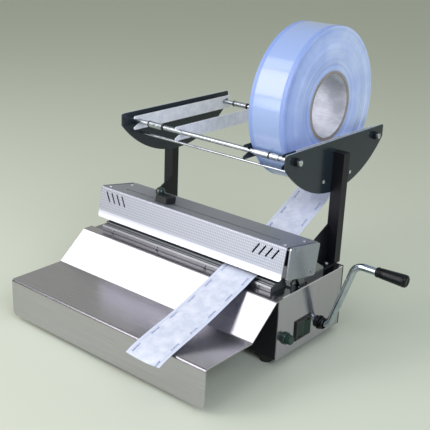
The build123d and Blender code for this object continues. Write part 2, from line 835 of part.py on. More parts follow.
def switch_rocker():
    y0, y1 = switch_y - rocker_length / 2, switch_y + rocker_length / 2
    deep = rocker_pivot - 1.5
    face = outline((deep, y0 + 3), (half + 1.4, y0), (half + 2.2, switch_y - 1),
                   (half + 2.2, switch_y + 1), (half + 4.6, y1), (deep, y1 - 3))
    face &= Pos(rocker_pivot, switch_y) * Circle(rocker_length / 2)
    height = rocker_height - 0.6
    return Pos(0, 0, switch_z - height / 2) * extrude(face, height)


def fuse_holder():
    collar = bar((half, half + 3), fuse_y, fuse_z, fuse_collar)
    body = bar((half - 24, half), fuse_y, fuse_z, fuse_cap - 0.6)
    collar = chamfer(collar.edges().group_by(Axis.X)[-1], 0.8)
    return collar + body - bar((half - fuse_stem, half + 4), fuse_y, fuse_z, fuse_bore)


def fuse_cap_knob():
    cap = bar((half + 3, half + 10), fuse_y, fuse_z, fuse_cap)
    cap = chamfer(cap.edges().group_by(Axis.X)[-1], 1.0)
    cap += bar((half - fuse_stem + seat_gap, half + 3), fuse_y, fuse_z, fuse_bore - run_gap)
    slot = block((half + 8.4, half + 11), (fuse_y - 5, fuse_y + 5), (fuse_z - 0.8, fuse_z + 0.8))
    return cap - slot


def power_inlet():
    back = base_depth
    flange = block((inlet_x - 16, inlet_x + 16), (back, back + 2), (inlet_z - 12.5, inlet_z + 12.5))
    flange = fillet(flange.edges().filter_by(Axis.Y), 2.5)
    case = block((inlet_x - 13.8, inlet_x + 13.8), (back - 20, back), (inlet_z - 9.8, inlet_z + 9.8))
    well = block((inlet_x - 12, inlet_x + 12), (back - 15, back + 3), (inlet_z - 8, inlet_z + 8))
    piece = flange + case - well
    for dx, dz in ((-7, -2), (0, 2.5), (7, -2)):
        piece += block((inlet_x + dx - 1, inlet_x + dx + 1), (back - 16, back - 2),
                       (inlet_z + dz - 2.5, inlet_z + dz + 2.5))
    return piece


# Transformer: a laminated core with its winding, on the chassis floor
def transformer_core():
    low = foot_height + chassis_wall
    depth = (core_front, core_front + core_depth)
    core = block((-core_length / 2, core_length / 2), depth, (low, low + core_height))
    for x in (-core_window, core_window):
        core -= block((x - core_window / 2, x + core_window / 2), (depth[0] - 1, depth[1] + 1),
                      (low + core_yoke, low + core_height - core_yoke))
    return core


def transformer_coil():
    low = foot_height + chassis_wall + core_yoke
    high = low + core_height - 2 * core_yoke
    wide = 1.5 * core_window - coil_gap
    coil = block((-wide, wide), (core_front - 10, core_front + core_depth + 10),
                 (low + coil_gap, high - coil_gap))
    coil = fillet(coil.edges().filter_by(Axis.Z), 6.0)
    return coil - block((-core_window / 2, core_window / 2), (core_front, core_front + core_depth),
                        (low - 1, high + 1))


def control_board():
    low = foot_height + chassis_wall
    x0 = half - board_x - board_length / 2
    x1, y1 = x0 + board_length, board_front + board_depth
    board = block((x0, x1), (board_front, y1), (low + pillar_height, low + pillar_height + board_wall))
    for x in (x0 + 4, x1 - 4):
        for y in (board_front + 4, y1 - 4):
            board += Pos(x, y, low + pillar_height / 2) * Cylinder(pillar_radius, pillar_height)
    top = low + pillar_height + board_wall
    board += block((x0 + 10, x0 + 28), (board_front + 8, board_front + 22), (top, top + 14))
    board += block((x0 + 32, x0 + 48), (board_front + 10, board_front + 36), (top, top + 7))
    return board


def cradle_screws():
    """Screws of the rods, the plates and the feet of the posts."""
    pieces = []
    for y in (rod_front, rod_rear):
        pieces.append(Pos(post_inner + boss_length, y, rod_level) * Rot(0, 90, 0) * socket_screw(3.4, 2.0))
    for y in plate_screw_y:
        pieces.append(Pos(post_inner, y, plate_screw_z) * Rot(0, 90, 0) * screw(2.4, 1.4))
    for y in (gusset_front + 7, post_front - 8):
        pieces.append(Pos(post_inner + post_width / 2 + 1, y, base_top + post_foot) * screw(2.8, 1.6))
    return both(Compound(pieces))


save("chassis", chassis())
save("side_panel_right", side_panel(True))
save("side_panel_left", side_panel(False))
save("rear_cover", rear_cover())
save("top_plate", top_plate())
save("rubber_feet", rubber_feet())
save("feeding_tray", feeding_tray())
save("lower_rail", lower_rail())
save("sealing_pad", sealing_pad())
save("jaw_screws", jaw_screws())
save("head_cover", head_cover())
save("head_end_right", head_end())
save("head_end_left", mirrored(head_end()))
save("head_frame", head_frame())
save("head_screws", head_screws())
save("heater_bar", heater_bar())
save("heater_cartridge", heater_cartridge())
save("heater_insulators", heater_insulators())
save("thermostat", thermostat())
carriage, knob, blade = cutter_parts()
save("cutter_carriage", carriage)
save("cutter_knob", knob)
save("cutter_blade", blade)
save("hinge_bracket_right", hinge_bracket())
save("hinge_bracket_left", mirrored(hinge_bracket()))
save("hinge_pins", both(hinge_pin()))
save("lever_shaft", lever_shaft())
save("eccentrics", both(eccentric()))
save("shaft_bushes", both(shaft_bush()))
save("pull_link_right", pull_link())
save("pull_link_left", mirrored(pull_link()))
save("lever_hub", lever_hub())
save("lever_rod", lever_rod())
save("lever_grip", lever_grip())
save("post_right", post())
save("post_left", mirrored(post()))
save("holder_plate_right", holder_plate())
save("holder_plate_left", mirrored(holder_plate()))
save("cradle_screws", cradle_screws())
save("front_rod", rod(rod_front, rod_level, rod_radius))
save("rear_rod", rod(rod_rear, rod_level, rod_radius))
save("thin_rod", rod(thin_rod_y, thin_rod_z, thin_rod_radius, rod_seat))
save("rod_bosses", rod_bosses())
save("rod_sleeves", rod_sleeves())
save("stop_rings", stop_rings())
strap_places = (strap_inset[0] - post_inner, strap_inset[1] - post_inner,
                reel_left - strap_clear[0], reel_left + reel_width + strap_clear[1])
for number, strap_x in enumerate(strap_places, 1):
    save(f"guide_strap_{number}", guide_strap(strap_x))
save("reel_core", reel_core())
save("reel_roll", reel_roll())
save("pouch_web", pouch_web())
save("switch_bezel", switch_bezel())
save("switch_rocker", switch_rocker())
save("fuse_holder", fuse_holder())
save("fuse_cap", fuse_cap_knob())
save("power_inlet", power_inlet())
save("transformer_core", transformer_core())
save("transformer_coil", transformer_coil())
save("control_board", control_board())
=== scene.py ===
import math
import bpy
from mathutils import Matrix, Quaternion, Vector, geometry


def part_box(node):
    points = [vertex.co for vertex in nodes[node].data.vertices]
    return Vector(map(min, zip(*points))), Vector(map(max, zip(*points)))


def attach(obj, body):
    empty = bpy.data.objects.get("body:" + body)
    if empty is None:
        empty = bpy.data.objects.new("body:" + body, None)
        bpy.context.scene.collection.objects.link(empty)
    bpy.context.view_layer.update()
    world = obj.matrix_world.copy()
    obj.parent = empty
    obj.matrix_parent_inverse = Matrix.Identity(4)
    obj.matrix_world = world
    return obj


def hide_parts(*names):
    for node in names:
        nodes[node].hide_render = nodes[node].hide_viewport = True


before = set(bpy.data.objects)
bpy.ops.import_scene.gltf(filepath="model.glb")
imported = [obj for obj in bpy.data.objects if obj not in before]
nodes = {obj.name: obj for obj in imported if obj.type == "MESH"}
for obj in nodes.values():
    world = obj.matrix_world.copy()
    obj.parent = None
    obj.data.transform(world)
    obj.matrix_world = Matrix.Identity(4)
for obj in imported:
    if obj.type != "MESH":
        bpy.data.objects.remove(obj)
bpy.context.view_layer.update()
mm = 0.001  # the dictionaries below give lengths in mm
weld = 0.004  # points nearer to each other than this become one


def deselectAll():
    if bpy.context.object and bpy.context.object.mode != "OBJECT":
        bpy.ops.object.mode_set(mode="OBJECT")
    bpy.ops.object.select_all(action="DESELECT")


def selectOnly(piece):
    deselectAll()
    piece.select_set(True)
    bpy.context.view_layer.objects.active = piece


def linear(hexText):
    # sRGB hex to the linear colour that a shader wants
    out = []
    for i in (0, 2, 4):
        c = int(hexText[i:i + 2], 16) / 255
        out.append(c / 12.92 if c <= 0.04045 else ((c + 0.055) / 1.055) ** 2.4)
    return (*out, 1.0)


def addNode(material, kind, settings, out=0):
    # a setting is a property, a socket or the number of a socket, and its value may be another
    # node's socket; one that adds sockets comes first. In a Mix, 0 is the share of the second
    # input, and the two inputs are 2 and 3 for numbers, 6 and 7 for colours
    tree = material.node_tree
    node = tree.nodes.new("ShaderNode" + kind)
    for name, value in settings.items():
        if name == "stops":
            points = node.color_ramp.elements
            while len(points) < len(value):
                points.new(0.5)
            for point, (at, colour) in zip(points, value):
                point.position, point.color = at, linear(colour)
        elif isinstance(value, bpy.types.NodeSocket):
            tree.links.new(value, node.inputs[name])
        elif isinstance(name, int) or name in node.inputs:
            node.inputs[name].default_value = value
        else:
            setattr(node, name, value)
    return node.outputs[out]


def newMaterial(name, colour, metallic, roughness, ior=None):
    material = bpy.data.materials.new(name)
    material.use_nodes = True
    shader = material.node_tree.nodes["Principled BSDF"]
    shader.inputs["Base Color"].default_value = linear(colour)
    shader.inputs["Metallic"].default_value = metallic
    shader.inputs["Roughness"].default_value = roughness
    if ior:
        shader.inputs["IOR"].default_value = ior
    return material, shader


def plug(material, shader, sockets):
    for name, socket in sockets.items():
        material.node_tree.links.new(socket, shader.inputs[name])


def paint(material, *names):
    for name in names:
        obj = nodes[name]
        obj.data.materials.clear()
        obj.data.materials.append(material)


def turned(outline, sides, capped=True):
    # drawn out step by step like work on a lathe; outline lists (along, radius) in mm
    deselectAll()
    along, radius = outline[0]
    bpy.ops.mesh.primitive_circle_add(vertices=sides, radius=radius * mm, location=(0, 0, 0),
                                      fill_type="NGON" if capped else "NOTHING")
    piece = bpy.context.object
    bpy.ops.object.mode_set(mode="EDIT")
    bpy.ops.mesh.select_all(action="SELECT")
    bpy.ops.transform.translate(value=(0, 0, along * mm))
    for nextAlong, nextRadius in outline[1:]:
        step = (0, 0, (nextAlong - along) * mm)
        bpy.ops.mesh.extrude_region_move(TRANSFORM_OT_translate={"value": step})
        grow = nextRadius / radius
        bpy.ops.transform.resize(value=(grow, grow, 1), center_override=(0, 0, nextAlong * mm))
        along, radius = nextAlong, nextRadius
    bpy.ops.object.mode_set(mode="OBJECT")
    return piece


def finishPiece(piece, name, material, body, replaced, angle):
    selectOnly(piece)
    bpy.ops.object.transform_apply(location=True, rotation=True, scale=True)
    bpy.ops.object.mode_set(mode="EDIT")
    bpy.ops.mesh.select_all(action="SELECT")
    bpy.ops.mesh.remove_doubles(threshold=weld * mm)
    bpy.ops.mesh.normals_make_consistent(inside=False)
    bpy.ops.object.mode_set(mode="OBJECT")
    bpy.ops.object.shade_smooth_by_angle(angle=math.radians(angle))
    piece.name = name
    piece.data.materials.clear()
    piece.data.materials.append(material)
    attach(piece, body)
    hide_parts(*replaced)


# where the photograph was taken from
print("camera")
cameraData = bpy.data.cameras.new("camera")
cameraData.sensor_width = 36
cameraData.lens = 71.95
cameraData.clip_start = 0.05
camera = bpy.data.objects.new("camera", cameraData)
camera.location = (0.64848, -0.72699, 0.51214)
camera.rotation_euler = [math.radians(a) for a in (69.5809, -2.2352, 39.9635)]
bpy.context.collection.objects.link(camera)
bpy.context.scene.camera = camera

print("metals")
# fold is the height of the side panels' folded edge, foldHighlight the height of its painted
# highlight, bend the depth of the tray's front bend that gets painted shade, and round says how far
# up the bend's faces look, where 0 is upright and 1 is flat
sheet = {"streak": 60.0, "clouds": 70.0, "fold": 1.5, "foldHighlight": 1.2, "bend": 3.0,
         "round": (0.1, 0.96)}


def brushedSteel(name, light, dark, along, roughness, streak, grain=0.55, hem=None, bend=None):
    # 304 stainless sheet, brushed at the mill: long fine streaks that blur a reflection one way.
    # grain is a streak's width, hem the z of a folded top edge that gets a painted highlight, and
    # bend the y of a bent front that gets painted shade
    material, shader = newMaterial(name, light, 1.0, roughness)
    at = addNode(material, "TexCoord", {}, "Object")
    fine, far = 1 / (grain * mm), 1 / (sheet["streak"] * mm)
    stretch = {"X": (far, fine, fine), "Z": (fine, fine, far)}[along]
    brushed = addNode(material, "Mapping", {"Vector": at, "Scale": stretch})
    streaks = addNode(material, "TexNoise", {"Vector": brushed, "Scale": 1.0, "Detail": 3.0,
                                             "Roughness": 0.6})
    clouds = addNode(material, "TexNoise", {"Vector": at, "Scale": 1 / (sheet["clouds"] * mm),
                                            "Detail": 2.0})
    tone = addNode(material, "ValToRGB", {"Fac": streaks, "stops": [(0.3, dark), (0.7, light)]})
    haze = addNode(material, "Mix", {"data_type": "FLOAT", 0: 0.35, 2: streaks, 3: clouds})
    rough = addNode(material, "MapRange", {"Value": haze, "From Min": 0.3, "From Max": 0.7,
                                           "To Min": roughness * 0.8, "To Max": roughness * 1.25})
    bump = addNode(material, "Bump", {"Height": streaks, "Strength": streak, "Distance": 0.05 * mm})
    if hem:  # the top edge is folded over and its round catches the light; a band along it is painted near white as a painted highlight
        height = addNode(material, "SeparateXYZ", {"Vector": at}, "Z")
        # painted highlight: the band just under the hem is painted f2f2f6
        foldHighlightMask = addNode(material, "Math", {"operation": "GREATER_THAN", 0: height,
                                            1: hem - sheet["foldHighlight"] * mm})
        tone = addNode(material, "Mix", {"data_type": "RGBA", 0: foldHighlightMask, 6: tone,
                                         7: linear("f2f2f6")}, 2)
        fold = addNode(material, "MapRange", {"Value": height, "From Min": hem - sheet["fold"] * mm,
                                              "From Max": hem, "To Min": 1.0, "To Max": 0.0})
        bump = addNode(material, "Bump", {"Height": fold, "Normal": bump, "Strength": 1.0,
                                          "Distance": sheet["fold"] * mm})
    if bend:  # painted shade: the front bend, between the upright lip and the flat shelf, is painted darker to tone down its highlight
        front = addNode(material, "SeparateXYZ", {"Vector": at}, "Y")
        normal = addNode(material, "NewGeometry", {}, "Normal")
        facing = addNode(material, "SeparateXYZ", {"Vector": normal}, "Z")
        onFront = addNode(material, "Math", {"operation": "LESS_THAN", 0: front,
                                             1: bend + sheet["bend"] * mm})
        least, most = sheet["round"]
        onRound = addNode(material, "Math", {"operation": "COMPARE", 0: facing,
                                             1: (most + least) / 2, 2: (most - least) / 2})
        bendShade = addNode(material, "Math", {"operation": "MULTIPLY", 0: onFront, 1: onRound})
        tone = addNode(material, "Mix", {"data_type": "RGBA", 0: bendShade, 6: tone,
                                         7: linear("7e7d82")}, 2)
    plug(material, shader, {"Base Color": tone, "Roughness": rough, "Normal": bump})
    return material


# the tray's front bend gets painted shade over its highlight
traySteel = brushedSteel("stainlessTray", "c2bfc3", "b5b2b6", "X", 0.23, 0.04,
                         bend=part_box("feeding_tray")[0][1])
panelSteel = brushedSteel("stainlessPanel", "c4c0c9", "b7b3bc", "Z", 0.13, 0.03,
                          hem=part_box("side_panel_right")[1][2])
topSteel = brushedSteel("stainlessBaseTop", "9a9ca0", "888b90", "X", 0.2, 0.04)
endSteel = brushedSteel("stainlessHeadEnd", "b3b5c2", "acafbc", "Z", 0.26, 0.0, 0.2)


def linenSteel(linen):
    # stainless sheet rolled with a linen pattern: rows of small raised dots that scatter the light
    material, shader = newMaterial("linenStainless", linen["light"], 1.0, 0.4)
    at = addNode(material, "TexCoord", {}, "Object")
    x, y, z = (addNode(material, "SeparateXYZ", {"Vector": at}, axis) for axis in "XYZ")
    # one way across the sheet is X, the other runs down the front and back over the top
    down = addNode(material, "Math", {"operation": "SUBTRACT", 0: z, 1: y})
    unrolled = addNode(material, "CombineXYZ", {0: x, 1: down})
    spot = addNode(material, "TexVoronoi", {"Vector": unrolled, "voronoi_dimensions": "2D",
                                            "Randomness": 0.0, "Scale": 1 / (linen["pitch"] * mm)})
    tone = addNode(material, "ValToRGB", {"Fac": spot, "stops": [(0.15, linen["light"]),
                                                                (0.6, linen["dark"])]})
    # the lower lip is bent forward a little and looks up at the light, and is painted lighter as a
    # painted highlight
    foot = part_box("head_cover")[0][2]
    lip = addNode(material, "MapRange", {"Value": z, "From Min": foot + linen["lip"] * mm,
                                         "From Max": foot + linen["lipEnd"] * mm, "To Min": 1.0,
                                         "To Max": 0.0})
    tone = addNode(material, "Mix", {"data_type": "RGBA", 0: lip, 6: tone, 7: linear("dcdee6")}, 2)
    rough = addNode(material, "MapRange", {"Value": spot, "From Max": 0.6, "To Min": 0.44,
                                           "To Max": 0.54})
    bump = addNode(material, "Bump", {"Height": spot, "invert": True, "Strength": 0.24,
                                      "Distance": linen["height"] * mm})
    plug(material, shader, {"Base Color": tone, "Roughness": rough, "Normal": bump})
    return material


# such dots are usually about 1 mm apart, and are drawn wider than that so that they show;
# the painted highlight on the lip fades out between the two heights above the cover's lower edge
coverSteel = linenSteel({"pitch": 2.6, "height": 0.16, "light": "b9bbc3", "dark": "999da7",
                         "lip": 5.0, "lipEnd": 11.0})

# peel and depth are the width and height of the skin's waves, and a face that looks up more than
# upward says is the upper edge of a sheet, which gets a painted reflection
powder = {"peel": 1.6, "depth": 0.12, "upward": 0.8}


def powderCoat(name, light, dark, rough, ior, edge=None):
    # polyester powder coat: baked powder leaves an even orange-peel skin with a soft gloss
    material, shader = newMaterial(name, light, 0.0, rough, ior)
    at = addNode(material, "TexCoord", {}, "Object")
    peel = addNode(material, "TexNoise", {"Vector": at, "Scale": 1 / (powder["peel"] * mm),
                                          "Detail": 2.0})
    tone = addNode(material, "ValToRGB", {"Fac": peel, "stops": [(0.3, dark), (0.7, light)]})
    matt = addNode(material, "MapRange", {"Value": peel, "From Min": 0.3, "From Max": 0.7,
                                          "To Min": rough * 0.85, "To Max": rough * 1.2})
    bump = addNode(material, "Bump", {"Height": peel, "Strength": 0.12,
                                      "Distance": powder["depth"] * mm})
    if edge:  # faces that look up, along the upper edge, are painted paler: a painted reflection
        normal = addNode(material, "NewGeometry", {}, "Normal")
        up = addNode(material, "SeparateXYZ", {"Vector": normal}, "Z")
        topSheenMask = addNode(material, "Math", {"operation": "GREATER_THAN", 0: up, 1: powder["upward"]})
        tone = addNode(material, "Mix", {"data_type": "RGBA", 0: topSheenMask, 6: tone,
                                         7: linear(edge)}, 2)
    plug(material, shader, {"Base Color": tone, "Roughness": matt, "Normal": bump})
    return material


bodyPaint = powderCoat("blackPowderCoat", "15151c", "101016", 0.36, 1.36)
# the plates' upper edges are painted 93a6b0 as a painted reflection
platePaint = powderCoat("glossyPowderCoat", "262f37", "20282f", 0.2, 1.45, "93a6b0")
# the aluminium rail is brushed and anodised, and blurs a reflection in the same way
anodised = brushedSteel("anodisedRail", "85888c", "74777b", "X", 0.4, 0.06)

strap = {"clouds": 11.0, "forkShade": 26.0}  # the painted shade on the fork runs this far back from a strap's front end


def satinSheet(name, forkShadeEnd=None):
    # satin anodised aluminium strip: an etched skin that glows evenly, cloudy from handling
    material, shader = newMaterial(name, "dfe1ec", 0.2, 0.5)
    at = addNode(material, "TexCoord", {}, "Object")
    clouds = addNode(material, "TexNoise", {"Vector": at, "Scale": 1 / (strap["clouds"] * mm),
                                            "Detail": 5.0, "Roughness": 0.65})
    tone = addNode(material, "ValToRGB", {"Fac": clouds, "stops": [(0.35, "dfe1ec"),
                                                                  (0.65, "f4f5fb")]})
    rough = addNode(material, "MapRange", {"Value": clouds, "From Min": 0.3, "From Max": 0.7,
                                           "To Min": 0.42, "To Max": 0.6})
    if forkShadeEnd:  # painted shade: the fork on the front rod is painted dark
        back = addNode(material, "SeparateXYZ", {"Vector": at}, "Y")
        onForkShade = addNode(material, "Math", {"operation": "LESS_THAN", 0: back, 1: forkShadeEnd})
        tone = addNode(material, "Mix", {"data_type": "RGBA", 0: onForkShade, 6: tone,
                                         7: linear("2b343b")}, 2)
    plug(material, shader, {"Base Color": tone, "Roughness": rough})
    return material


def chromed(name, tint, bright, rough):
    # bright chrome, zinc plate or ground steel: close to a mirror, with faint handling haze
    material, shader = newMaterial(name, tint, 1.0, rough)
    at = addNode(material, "TexCoord", {}, "Object")
    haze = addNode(material, "TexNoise", {"Vector": at, "Scale": 1 / (9 * mm), "Detail": 3.0})
    tone = addNode(material, "ValToRGB", {"Fac": haze, "stops": [(0.3, tint), (0.7, bright)]})
    blur = addNode(material, "MapRange", {"Value": haze, "From Min": 0.3, "From Max": 0.7,
                                          "To Min": rough * 0.7, "To Max": rough * 1.6})
    plug(material, shader, {"Base Color": tone, "Roughness": blur})
    return material


rodSteel = chromed("groundRod", "9da4ab", "b3b9bf", 0.2)
crankChrome = chromed("crankChrome", "aab4ba", "c2cacf", 0.1)
zincScrew = chromed("zincScrew", "cfd2d6", "eceef0", 0.24)
dullScrew = chromed("passivatedScrew", "7c7f83", "94979b", 0.34)
# plain cold-rolled sheet of the parts inside: duller and greyer than the stainless
blankSteel = brushedSteel("coldRolledSteel", "8b8d90", "77797c", "Z", 0.36, 0.1)


def blackenedSteel():
    # black-oxide steel: a thin dark oily skin over turned metal, worn lighter in specks
    material, shader = newMaterial("blackOxide", "2c2e31", 1.0, 0.32)
    at = addNode(material, "TexCoord", {}, "Object")
    wear = addNode(material, "TexNoise", {"Vector": at, "Scale": 1 / (2.5 * mm), "Detail": 5.0})
    tone = addNode(material, "ValToRGB", {"Fac": wear, "stops": [(0.45, "26282b"),
                                                                (0.8, "55585c")]})
    rough = addNode(material, "MapRange", {"Value": wear, "To Min": 0.2, "To Max": 0.5})
    plug(material, shader, {"Base Color": tone, "Roughness": rough})
    return material


print("plastics, rubber and card")


def moulded(name, colour, shade, rough, grainSize, depth, ior=1.5):
    # moulded plastic or rubber: a spark-eroded tool leaves a fine even grain; the ceramic, the
    # coil's tape and the board inside the machine are as even and use it too
    material, shader = newMaterial(name, colour, 0.0, rough, ior)
    at = addNode(material, "TexCoord", {}, "Object")
    grain = addNode(material, "TexNoise", {"Vector": at, "Scale": 1 / (grainSize * mm),
                                           "Detail": 4.0})
    tone = addNode(material, "ValToRGB", {"Fac": grain, "stops": [(0.3, shade), (0.7, colour)]})
    matt = addNode(material, "MapRange", {"Value": grain, "From Min": 0.3, "From Max": 0.7,
                                          "To Min": rough * 0.8, "To Max": rough * 1.2})
    bump = addNode(material, "Bump", {"Height": grain, "Strength": 0.2, "Distance": depth * mm})
    plug(material, shader, {"Base Color": tone, "Roughness": matt, "Normal": bump})
    return material


blackAbs = moulded("blackAbs", "17191c", "0f1113", 0.32, 0.8, 0.05)
knobPhenolic = moulded("greenPhenolic", "17302a", "0f221e", 0.16, 3.0, 0.02, 1.6)
blackRubber = moulded("blackRubber", "232425", "191a1b", 0.7, 0.6, 0.08)
gripPvc = moulded("gripPvc", "070d0e", "050809", 0.3, 1.2, 0.05, 1.33)
fuseNylon = moulded("greenNylon", "193b31", "122c24", 0.28, 1.5, 0.03)
rockerGreen = moulded("greenPolycarbonate", "0f2a24", "0b201b", 0.14, 3.0, 0.02, 1.42)
ceramicWhite = moulded("steatite", "d8d4c8", "c6c1b2", 0.6, 0.9, 0.06)
coilTape = moulded("coilTape", "b98a2b", "9c7120", 0.35, 2.0, 0.05)
boardLaminate = moulded("boardLaminate", "2e6b3f", "235535", 0.4, 1.5, 0.04)

tube = {"fibres": 2.2, "scuffs": 26.0, "rim": 0.9}  # the rim is the browner cut at each end


def coreBoard():
    # wound paper tube: a pale calendered inside, and a browner cut rim where the plies show
    material, shader = newMaterial("woundBoard", "dcdce0", 0.0, 0.55, 1.45)
    low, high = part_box("reel_core")
    at = addNode(material, "TexCoord", {}, "Object")
    fibres = addNode(material, "Mapping", {"Vector": at, "Scale": (0.3, 1, 1)})
    fibre = addNode(material, "TexNoise", {"Vector": fibres, "Scale": 1 / (tube["fibres"] * mm),
                                           "Detail": 4.0})
    scuffs = addNode(material, "TexNoise", {"Vector": at, "Scale": 1 / (tube["scuffs"] * mm),
                                            "Detail": 2.0})
    worn = addNode(material, "Mix", {"data_type": "FLOAT", 0: 0.75, 2: fibre, 3: scuffs})
    inside = addNode(material, "ValToRGB", {"Fac": worn, "stops": [(0.38, "aaacb8"),
                                                                  (0.62, "d4d6e0")]})
    cut = addNode(material, "ValToRGB", {"Fac": fibre, "stops": [(0.3, "857f7d"),
                                                                (0.7, "a09a97")]})
    along = addNode(material, "SeparateXYZ", {"Vector": at}, "X")
    off = addNode(material, "Math", {"operation": "SUBTRACT", 0: along, 1: (low[0] + high[0]) / 2})
    away = addNode(material, "Math", {"operation": "ABSOLUTE", 0: off})
    rim = addNode(material, "Math", {"operation": "GREATER_THAN", 0: away,
                                     1: (high[0] - low[0]) / 2 - tube["rim"] * mm})
    tone = addNode(material, "Mix", {"data_type": "RGBA", 0: rim, 6: inside, 7: cut}, 2)
    bump = addNode(material, "Bump", {"Height": fibre, "Strength": 0.08, "Distance": 0.15 * mm})
    plug(material, shader, {"Base Color": tone, "Normal": bump})
    return material


paint(traySteel, "feeding_tray")
paint(topSteel, "top_plate", "hinge_bracket_right", "hinge_bracket_left")
paint(panelSteel, "side_panel_right", "side_panel_left")
paint(coverSteel, "head_cover")
paint(endSteel, "head_end_right", "head_end_left")
paint(bodyPaint, "chassis", "rear_cover", "post_right", "post_left", "head_frame")
paint(platePaint, "holder_plate_right", "holder_plate_left")
paint(anodised, "lower_rail", "heater_bar")
paint(satinSheet("satinAluminium"), "guide_strap_1", "guide_strap_2")
# straps 3 and 4 get painted shade on their forks
paint(satinSheet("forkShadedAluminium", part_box("guide_strap_3")[0][1] + strap["forkShade"] * mm),
      "guide_strap_3", "guide_strap_4")
paint(rodSteel, "front_rod", "rear_rod", "thin_rod", "rod_sleeves", "hinge_pins",
      "heater_cartridge", "cutter_blade")
paint(crankChrome, "lever_rod")
paint(zincScrew, "cradle_screws", "head_screws")
paint(dullScrew, "jaw_screws")
paint(blankSteel, "pull_link_right", "pull_link_left", "eccentrics", "transformer_core")
paint(blackenedSteel(), "lever_shaft", "lever_hub", "shaft_bushes")
paint(blackAbs, "cutter_carriage", "rod_bosses", "switch_bezel", "power_inlet")
paint(fuseNylon, "fuse_holder")
paint(blackRubber, "rubber_feet", "sealing_pad", "stop_rings")
paint(rockerGreen, "switch_rocker")
paint(ceramicWhite, "heater_insulators", "thermostat")
paint(coilTape, "transformer_coil")
paint(boardLaminate, "control_board")
paint(coreBoard(), "reel_core")

print("pouch reel")
reel = {"middle": (137.85, 281.46), "left": 64.7, "right": 114.7, "radius": 95.0, "core": 41.05,
        # the outer turn: two margins as wide as seal slope inward and step down to a sunk middle
        "seal": 5.5, "step": 0.6, "flat": 0.9, "sunk": 0.2, "edge": 0.7, "slope": 0.05, "sides": 192,
        # the look: lightSlope and lightRise set how strongly and which way the sides get painted
        # light and shade, coreShade is how many mm of the first turns are painted grey as shade, and
        # rim is how far the tread's colour reaches inward
        "rings": 3.4, "clouds": 38.0, "lightSlope": 0.26, "lightRise": 0.6, "coreShade": 1.6, "rim": 0.5}


def woundFilm():
    # reel of pouch web: clear blue film heat-sealed to white paper, so the cut edges of the
    # layers show as fine light and dark rings and the outer turn as glossy film
    material, shader = newMaterial("woundPouchFilm", "9fb6e4", 0.0, 0.4, 1.5)
    y, z = (v * mm for v in reel["middle"])
    centred = addNode(material, "Mapping", {"Vector": addNode(material, "TexCoord", {}, "Object"),
                                            "Location": (0, -y, -z)})
    across, back, up = (addNode(material, "SeparateXYZ", {"Vector": centred}, axis) for axis in "XYZ")
    flat = addNode(material, "CombineXYZ", {0: back, 1: up})
    radius = addNode(material, "VectorMath", {"operation": "LENGTH", 0: flat}, "Value")
    rings = addNode(material, "TexNoise", {"noise_dimensions": "1D", "W": radius, "Detail": 4.0,
                                           "Scale": 1 / (reel["rings"] * mm), "Roughness": 0.55})
    clouds = addNode(material, "TexNoise", {"Vector": centred, "Scale": 1 / (reel["clouds"] * mm),
                                            "Detail": 3.0})
    # tighter, deeper blue turns near the core and in the last few layers
    wound = addNode(material, "ValToRGB", {
        "Fac": addNode(material, "MapRange", {"Value": radius, "From Min": reel["core"] * mm,
                                              "From Max": reel["radius"] * mm}),
        "stops": [(0.0, "94a9e0"), (0.3, "b1c3ed"), (0.55, "c2d0f3"), (0.8, "b3c6f0"),
                  (0.92, "88a1da")]})
    layers = addNode(material, "ValToRGB", {"Fac": rings, "stops": [(0.34, "9cb3ee"), (0.5, "b2c6f8"),
                                                                   (0.66, "d2defc")]})
    # painted light and shade: the sides are painted deeper blue towards the front and bottom and
    # paler towards the back and top, mixed with clouds
    lightSlope = addNode(material, "Math", {"operation": "MULTIPLY_ADD", 0: up, 1: reel["lightRise"], 2: back})
    lightAndClouds = addNode(material, "Math", {"operation": "MULTIPLY_ADD", 0: lightSlope,
                                       1: reel["lightSlope"] / (reel["radius"] * mm), 2: clouds})
    litSideTone = addNode(material, "ValToRGB", {"Fac": lightAndClouds, "stops": [(0.22, "7b95df"), (0.5, "a8bcf1"),
                                                                  (0.78, "d9e6ff")]})
    side = addNode(material, "Mix", {"data_type": "RGBA", 0: 0.5, 6: layers, 7: wound}, 2)
    side = addNode(material, "Mix", {"data_type": "RGBA", 0: 0.5, 6: side, 7: litSideTone}, 2)
    # painted shade: the first turns beside the core are painted grey
    start = addNode(material, "Math", {"operation": "LESS_THAN", 0: radius,
                                       1: (reel["core"] + reel["coreShade"]) * mm})
    side = addNode(material, "Mix", {"data_type": "RGBA", 0: start, 6: side,
                                     7: linear("9d9797")}, 2)
    # the sealed margins of the outer turn are a deeper blue than its middle
    middle = (reel["left"] + reel["right"]) / 2 * mm
    off = addNode(material, "Math", {"operation": "SUBTRACT", 0: across, 1: middle})
    away = addNode(material, "Math", {"operation": "ABSOLUTE", 0: off})
    sealed = (reel["right"] - reel["left"]) / 2 - reel["seal"]
    margin = addNode(material, "MapRange", {"Value": away,
                                            "From Min": (sealed - reel["flat"]) * mm,
                                            "From Max": (sealed - reel["step"] / 2) * mm})
    tread = addNode(material, "Mix", {"data_type": "RGBA", 0: margin, 6: linear("8da4d2"),
                                      7: linear("8098cf")}, 2)
    onTread = addNode(material, "MapRange", {"Value": radius,
                                             "From Min": (reel["radius"] - reel["rim"]) * mm,
                                             "From Max": (reel["radius"] - reel["sunk"]) * mm})
    tone = addNode(material, "Mix", {"data_type": "RGBA", 0: onTread, 6: side, 7: tread}, 2)
    bump = addNode(material, "Bump", {"Height": rings, "Strength": 0.2, "Distance": 0.25 * mm})
    # only the flat middle of the outer turn lies tight enough to shine
    tight = addNode(material, "Math", {"operation": "SUBTRACT", 0: onTread, 1: margin,
                                       "use_clamp": True})
    plug(material, shader, {"Base Color": tone, "Normal": bump, "Coat Weight": tight})
    shader.inputs["Coat Roughness"].default_value = 0.13
    return material


